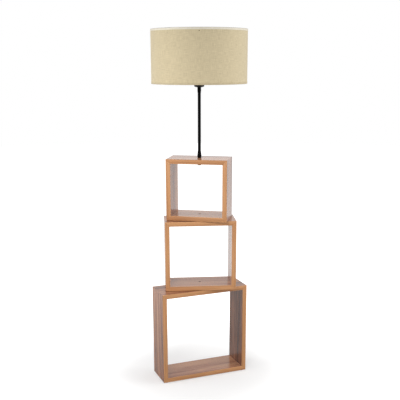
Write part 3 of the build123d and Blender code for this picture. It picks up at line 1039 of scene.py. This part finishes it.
# --- shade
@dataclass
class DrumShade:
    """Laminated cloth drum with folded edge tapes on a wire frame. Millimetres, and degrees for turns."""

    radius: float = 185.0
    base: float = 1200.0
    height: float = 200.0
    tape: float = 0.5
    outer_leg: float = 8.0
    inner_leg: float = 6.0
    over_edge: float = 3.6
    cloth: float = 0.6
    film: float = 0.4
    film_gap: float = 0.3
    play: float = 0.05
    wire: float = 1.5
    lap: float = 12.0
    steps: int = 240
    rows: int = 20
    spokes: int = 3
    notch: float = 1.4
    rivet_bearing: float = -4.5
    rivet_drop: float = 12.5
    hub_radius: float = 30.0
    hub_bore: float = 20.4
    hub_base: float = 1221.0
    hub_thickness: float = 1.2
    spoke_start: float = 26.5
    pressed: float = 8.0
    weld: float = 1.7

    @property
    def top(self) -> float:
        """The upper edge's height."""
        return self.base + self.height

    @property
    def cloth_radius(self) -> float:
        """Outer radius of the cloth."""
        return self.radius - self.tape - self.play

    @property
    def film_radius(self) -> float:
        """Outer radius of the film."""
        return self.cloth_radius - self.cloth - self.film_gap

    @property
    def wire_circle(self) -> float:
        """Radius of the middle of both ring wires."""
        return self.film_radius - self.film - self.play - self.wire

    @property
    def wire_height(self) -> float:
        """Height of the middle of the lower ring wire."""
        return self.base + self.tape + self.play + self.wire

    @property
    def bearings(self) -> list[float]:
        """Where the spokes stand round the axis."""
        return [90 + 360 * i / self.spokes for i in range(self.spokes)]

    def wire_ring(self, name: str, height: float) -> Piece:
        """A closed ring of wire, with the bead of its butt weld at the back."""
        piece = added(f"{name}_loop", bpy.ops.mesh.primitive_torus_add, major_segments=160, minor_segments=14,
                      major_radius=self.wire_circle * MM, minor_radius=self.wire * MM, location=(0, 0, height * MM))
        piece.data.uv_layers.remove(piece.data.uv_layers.active)
        settle(piece)
        return joined([piece, self.bead(-20, self.wire_circle - 0.7, height)], name)

    def bead(self, x: float, y: float, z: float) -> Piece:
        """A weld bead, a little wider than the wire."""
        piece = added("weld_bead", bpy.ops.mesh.primitive_uv_sphere_add, segments=14, ring_count=9,
                      radius=self.weld * MM, calc_uvs=False)
        put_at(piece, moved(x, y, z))
        settle(piece)
        return piece

    def spoke(self, bearing: float) -> Piece:
        """A wire from the hub to the lower ring, pressed flat where it is welded on the hub.

        Args:
            bearing: Its turn about the axis, in degrees.

        Returns:
            The spoke, in its place.
        """
        start = Vector((self.spoke_start, 0, self.hub_base + self.hub_thickness / 2)) * MM
        end = Vector((self.wire_circle, 0, self.wire_height)) * MM
        wide, thin, same = 1.25, 0.65, (1, 1, 1)
        length, flat, eased = (end - start).length, self.pressed * MM, 0.4 * self.pressed * MM
        piece = added("spoke", bpy.ops.mesh.primitive_circle_add, vertices=14, radius=self.wire * MM,
                      fill_type="NGON", rotation=(0, math.pi / 2, 0))
        with editing(piece, whole=True):
            bpy.ops.transform.resize(value=(1, wide, thin))
            for run, swell in ((flat, same), (eased, (1, 1 / wide, 1 / thin)), (length - flat - eased, same)):
                extrude((run, 0, 0))
                bpy.ops.transform.resize(value=swell)
            face_out()
        settle(piece)
        way = (end - start).to_track_quat("X", "Z").to_matrix().to_4x4()
        put_at(piece, turned(bearing) @ Matrix.Translation(start) @ way)
        return piece

    def fitter(self) -> Piece:
        """The lower ring, its spokes and the hub that sits on the lampholder, welded together."""
        low, high, bore, rim = self.hub_base, self.hub_base + self.hub_thickness, self.hub_bore, self.hub_radius
        outline = [(bore, low + 0.2), (bore + 0.2, low), (rim - 0.4, low), (rim, low + 0.4), (rim, high - 0.4),
                   (rim - 0.4, high), (bore + 0.2, high), (bore, high - 0.2)]
        pieces = [self.wire_ring("fitter_ring", self.wire_height), lathe("hub", outline)]
        for bearing in self.bearings:
            bead = self.bead(self.wire_circle - 1.5, 0, self.wire_height)
            put_at(bead, turned(bearing))
            pieces += [self.spoke(bearing), bead]
        return joined(pieces, "fitter_frame")

    def wall(self, name: str, radius: float, thickness: float, lap: float) -> Piece:
        """A drum wall rolled from one sheet, with its seam at the back.

        Args:
            name: The new object's name.
            radius: Outer radius of the wall.
            thickness: The sheet's thickness.
            lap: How far the sheet's end laps over its start, or 0 for a butt seam.

        Returns:
            The wall, with its length map.
        """
        edge, rows, middle = self.tape + self.play, self.rows, radius - thickness / 2
        low, high = self.base + edge, self.top - edge
        piece = drawn(name, [(middle, low + (high - low) * i / rows) for i in range(rows + 1)])
        put_at(piece, turned(90))
        with editing(piece, whole=True):
            spin(self.steps, use_auto_merge=False)
            if lap:
                # the lap climbs over the sheet's start and then lies close to it
                for rise in (thickness, -0.02, -0.05):
                    extrude((-lap / 3 * MM, rise * MM, 0))
            face_out()
        lay_out(piece, round_the_axis(radius))
        finish_with(piece, "SOLIDIFY", thickness=thickness * MM, offset=0.0)
        settle(piece, 50)
        return piece

    def fold(self, upper: bool) -> Piece:
        """The tape folded over one edge of the drum and its ring wire.

        Args:
            upper: Whether it is the upper edge's tape.

        Returns:
            The tape, with its length map.
        """
        edge, way = (self.top, -1) if upper else (self.base, 1)
        half, wire = self.tape / 2, self.wire_circle
        outer, inner = self.radius - half, wire - self.wire - self.play - half
        legs = [(outer, self.outer_leg), (outer, 5.6), (outer, 3.2), (outer, 1.5), (outer - 0.18, 0.8),
                (outer - 0.65, 0.36), (outer - 1.3, half), (wire, half), (inner + 1.0, half + 0.12),
                (inner + 0.3, 0.75), (inner, 1.5), (inner, 3.2), (inner, self.inner_leg)]
        piece = drawn(f"{'upper' if upper else 'lower'}_tape", [(r, edge + way * d) for r, d in legs])
        put_at(piece, turned(90))
        with editing(piece, whole=True):
            spin(self.steps)
        close_up(piece)

        def notched(co: Vector) -> bool:
            """Whether a face of the inner leg lies at a spoke."""
            bearing = math.atan2(co.y, co.x)
            apart = min(abs(math.remainder(bearing - math.radians(b), FULL_TURN)) for b in self.bearings)
            return co.to_2d().length < (inner + 0.6) * MM and apart < math.radians(self.notch)

        def lifted(co: Vector) -> bool:
            """Whether a vertex of the outer leg lies on the cloth's lapped seam."""
            return co.y > 0 and -(self.lap + 2) * MM < co.x < 3 * MM and co.to_2d().length > (outer - 0.1) * MM

        with editing(piece):
            if not upper:
                # the spokes leave the ring through notches in the inner leg
                pick(piece, "FACE", notched)
                bpy.ops.mesh.delete(type="FACE")
            pick(piece, "VERT", lifted)
            swell = 1 + 0.6 * self.cloth / outer
            bpy.ops.transform.resize(value=(swell, swell, 1), center_override=(0, 0, 0))

        def along(corner: Vector, middle: Vector) -> tuple[float, float]:
            """u along the turn, v over the fold from the outer leg to the inner one."""
            turn, _ = round_the_axis(self.radius)(corner, middle)
            reach, drop = corner.to_2d().length, abs(corner.z - edge * MM)
            if reach > (outer - 0.4) * MM:
                return turn, -drop
            if reach > (inner + 0.4) * MM:
                return turn, outer * MM - reach
            return turn, (outer - inner) * MM + drop

        lay_out(piece, along)
        finish_with(piece, "SOLIDIFY", thickness=self.tape * MM, offset=0.0)
        settle(piece, 60)
        return piece

    def rivet(self) -> Piece:
        """A tubular rivet through the wall, with a domed head outside and a rolled rim inside."""
        grip = self.cloth + self.film_gap + self.film + self.play
        head = [(0, 0.30), (0.35, 0.30), (0.55, 0.38), (0.8, 0.50), (1.15, 0.46), (1.5, 0.28), (1.68, 0.08),
                (1.68, 0.0), (0.9, 0.0)]
        rim = raised(-grip, (0.9, 0), (1.55, 0), (1.7, -0.16), (1.55, -0.38), (1.1, -0.48), (0.6, -0.30), (0, -0.26))
        piece = lathe("rivet", [*head, *rim], 32, closed=False)
        out = moved(0, -self.cloth_radius, self.top - self.rivet_drop)
        put_at(piece, turned(self.rivet_bearing) @ out @ turned(90, "X"))
        return piece

    def build(self) -> None:
        """Builds the shade's wire frame, cloth, film, tapes and rivet."""
        hand_over(self.fitter(), WHITE_WIRE, "shade", "white_wire", "shade_fitter_frame")
        ring = self.wire_ring("top_ring", self.top - self.tape - self.play - self.wire)
        hand_over(ring, WHITE_WIRE, "shade", "white_wire", "shade_top_ring")
        cloth = self.wall("shade_cloth", self.cloth_radius, self.cloth, self.lap)
        hand_over(cloth, SHADE_CLOTH, "shade", "shade_fabric", "shade_fabric")
        film = self.wall("shade_film", self.film_radius, self.film, 0.0)
        hand_over(film, STYRENE, "shade", "shade_lining", "shade_lining")
        for upper, finish, node in ((True, UPPER_TAPE_PAINTED_LIT, "shade_top_tape"), (False, LOWER_TAPE_PAINTED_SHADED, "shade_bottom_tape")):
            tape = self.fold(upper)
            hand_over(tape, finish, "shade", "shade_tape", node)
        hand_over(self.rivet(), BRONZED, "shade", "bronzed_steel", "shade_rivet")


# --- studio
@dataclass(frozen=True)
class SoftBox:
    """One soft area lamp. Metres, watts, and degrees for the spread of its beam."""

    name: str
    place: Triple
    aim: Triple
    size: tuple[float, float]
    watts: float
    spread: float = 180.0

    def build(self) -> None:
        """Hangs the lamp."""
        data = bpy.data.lights.new(self.name, "AREA")
        data.shape = "RECTANGLE"
        data.size, data.size_y = self.size
        data.energy = self.watts
        data.spread = math.radians(self.spread)
        lamp = bpy.data.objects.new(self.name, data)
        lamp.location = self.place
        lamp.rotation_euler = (Vector(self.aim) - Vector(self.place)).to_track_quat("-Z", "Y").to_euler()
        lamp.visible_camera = False
        bpy.context.scene.collection.objects.link(lamp)


LAMPS = (
    SoftBox("left_softbox", (-2.2, -0.3, 1.7), (0, 0, 1.0), (1.8, 2.2), 25),
    SoftBox("right_softbox", (2.2, -0.3, 1.7), (0, 0, 1.0), (1.8, 2.2), 31),
    SoftBox("gridded_front_softbox", (-0.7, -1.9, 1.7), (0, 0, 0.7), (0.7, 0.7), 1.5, 50),
)


@dataclass
class Studio:
    """Pale floor, white backdrop, soft lights and the camera at the photograph's angle.

    The camera's place is in millimetres and degrees, the floor's radii in metres.
    """

    axis_distance: float = 2843.6
    bearing: float = -4.53
    eye_height: float = 1280.0
    pitch: float = 15.69
    yaw: float = 0.03
    roll: float = -0.12
    focal_px: float = 715.7
    frame_px: float = 400.0
    middle_y_px: float = 263.11
    sensor: float = 36.0
    surroundings: float = 0.52
    floor_radius: float = 9.0
    lift: float = 0.41
    near: float = 0.2
    far: float = 0.65
    mirrored: tuple[float, float] = (0.12, 0.66)
    mirrored_near: float = 0.5
    mirrored_far: float = 2.0

    def camera(self) -> None:
        """The camera, from the photograph's own perspective."""
        a = math.radians(self.bearing)
        eye = Vector((math.sin(a), -math.cos(a), 0)) * self.axis_distance * MM
        eye.z = self.eye_height * MM
        look, dip, tilt = math.radians(-self.bearing + self.yaw), math.radians(self.pitch), math.radians(self.roll)
        ahead = Vector((math.sin(look) * math.cos(dip), math.cos(look) * math.cos(dip), -math.sin(dip)))
        right = Vector((math.cos(look), -math.sin(look), 0))
        up = right.cross(ahead)
        right, up = right * math.cos(tilt) + up * math.sin(tilt), up * math.cos(tilt) - right * math.sin(tilt)
        data = bpy.data.cameras.new("photograph")
        data.sensor_width = self.sensor
        data.lens = self.focal_px / self.frame_px * self.sensor
        data.shift_y = (self.middle_y_px - self.frame_px / 2) / self.frame_px
        data.clip_end = 100
        camera = bpy.data.objects.new("photograph", data)
        camera.matrix_world = Matrix.Translation(eye) @ Matrix((right, up, -ahead)).transposed().to_4x4()
        bpy.context.scene.collection.objects.link(camera)
        bpy.context.scene.camera = camera

    def world(self) -> None:
        """White surroundings: full white to the camera and in reflections, softer as light."""
        world = bpy.data.worlds.new("white_studio")
        world.use_nodes = True
        tree = world.node_tree
        path = put(tree, "ShaderNodeLightPath").outputs
        seen = maths(tree, "MAXIMUM", path["Is Camera Ray"], path["Is Glossy Ray"])
        seen = maths(tree, "MAXIMUM", seen, path["Is Transmission Ray"])
        level = spread(tree, seen, 0.0, 1.0, self.surroundings, 1.0)
        feed(tree.nodes["Background"], {"Color": linear("#FFFFFF"), "Strength": level})
        bpy.context.scene.world = world

    def floor(self) -> None:
        """A wide white floor that keeps the lamp's soft shadow and fades into the backdrop."""
        floor = added("studio_floor", bpy.ops.mesh.primitive_circle_add, vertices=96, radius=self.floor_radius,
                      fill_type="NGON")
        material, tree, shader = blank("white_paper_floor")
        path = put(tree, "ShaderNodeLightPath").outputs
        here = put(tree, "ShaderNodeTexCoord").outputs["Object"]
        away = put(tree, "ShaderNodeVectorMath", {0: here}, operation="LENGTH").outputs["Value"]
        # what the boards mirror is dim close by, under the lamp, and bright farther out
        share = spread(tree, away, self.mirrored_near, self.mirrored_far, *self.mirrored, "SMOOTHSTEP")
        mirrored = maths(tree, "MULTIPLY", path["Is Glossy Ray"], share)
        seen = maths(tree, "MAXIMUM", path["Is Camera Ray"], path["Is Transmission Ray"])
        seen = maths(tree, "MAXIMUM", seen, mirrored)
        fade = spread(tree, away, self.near, self.far, self.lift, 1.0, "SMOOTHSTEP")
        feed(shader, {"Base Color": linear("#CBCBCB"), "Roughness": 0.9, "Specular IOR Level": 0.0,
                      "Emission Color": linear("#FFFFFF"), "Emission Strength": maths(tree, "MULTIPLY", seen, fade)})
        # seen from below, the floor is open, so that the lamp's underside shows
        below = put(tree, "ShaderNodeNewGeometry").outputs["Backfacing"]
        clear = put(tree, "ShaderNodeBsdfTransparent").outputs[0]
        paper = put(tree, "ShaderNodeMixShader", {0: below, 1: shader.outputs[0], 2: clear}).outputs[0]
        feed(tree.nodes["Material Output"], {"Surface": paper})
        floor.data.materials.append(material)

    def build(self) -> None:
        """Sets up the whole studio."""
        self.camera()
        self.world()
        self.floor()
        for lamp in LAMPS:
            lamp.build()
        bpy.context.scene.view_settings.view_transform = "Standard"
        log.info("studio: ready")


# the boxes from the floor up, each with how much lighter than the print its four boards are painted: painted light on
# the lit boards, painted shade on the shaded ones
BOXES = (
    BoxUnit("lower", 370, 380, 17, 3, 0.0, dict(zip(Side, (0.07, 0.01, -0.02, -0.10)))),
    BoxUnit("middle", 286, 286, 0, 384, 1.7, dict(zip(Side, (0.10, 0.04, -0.01, 0.06)))),
    BoxUnit("upper", 244, 244, -16, 671, 3.1, dict(zip(Side, (0.15, 0.01, 0.07, -0.01)))),
)


def main() -> None:
    """Builds the studio, then the lamp from the floor up."""
    logging.basicConfig(level=logging.INFO, format="%(message)s")
    clear_selection()
    for unit in (Studio(), FeltFeet(), *BOXES, Pole(), LampHolder(), Bulb(), DrumShade()):
        unit.build()
    clear_selection()


if __name__ == "__main__":
    main()
